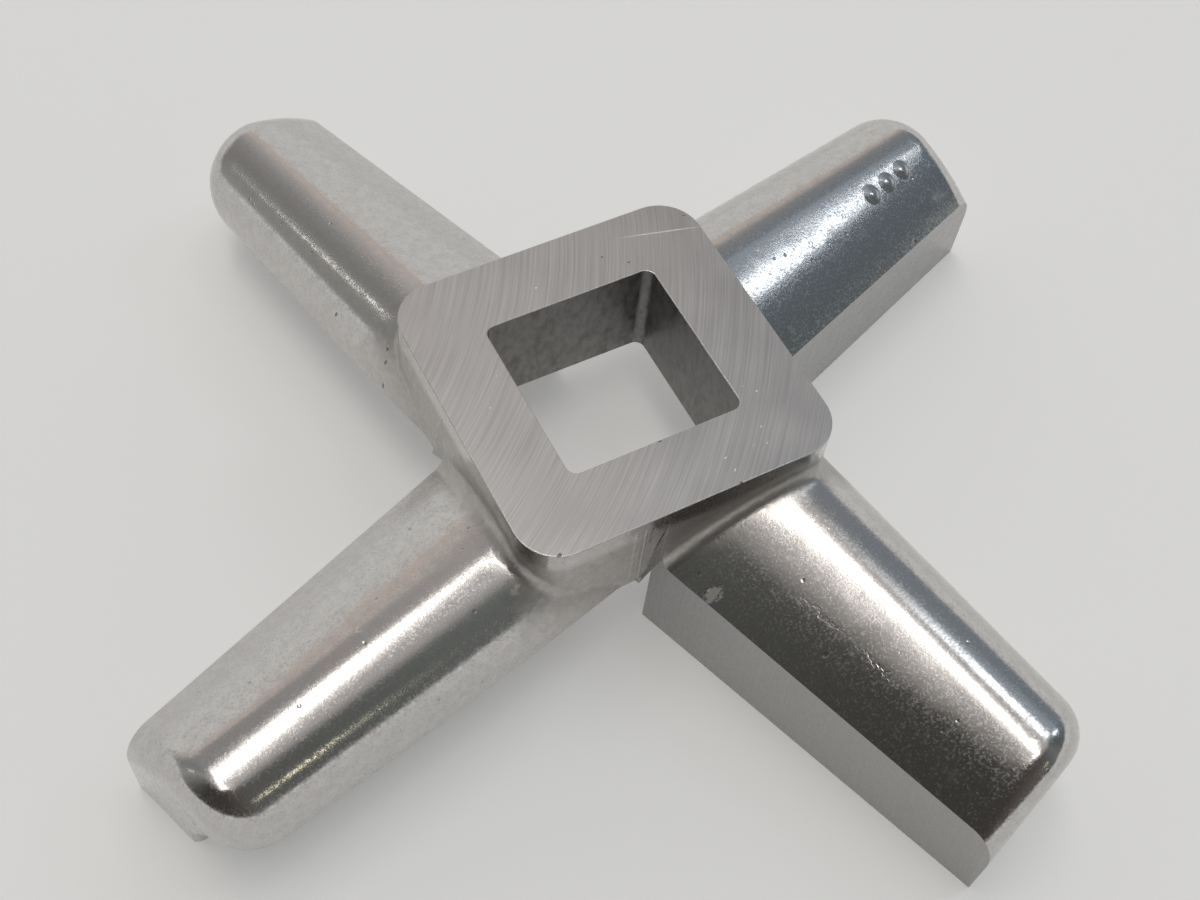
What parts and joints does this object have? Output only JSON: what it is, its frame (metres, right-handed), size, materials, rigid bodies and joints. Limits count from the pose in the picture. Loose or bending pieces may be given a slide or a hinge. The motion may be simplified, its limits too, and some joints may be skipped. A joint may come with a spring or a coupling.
{
  "type": "meat grinder knife",
  "caption": "Cast stainless meat grinder knife with a square drive hole in a raised hub and domed arms ground flat on their leading faces and cutting lands.",
  "frame": {"origin": "on the hub's turning axis, in the plane of the cutting lands that rub on the plate", "axes": "+Z along the turning axis from the lands to the hub's ground top face; X and Y square to the hub's flat sides"},
  "size_m": [0.0936, 0.0936, 0.0186],
  "materials": {
    "cast_stainless": "polished casting with ground faces"
  },
  "bodies": {
    "root": {"grinder_knife": "cast_stainless"}
  },
  "joints": []
}
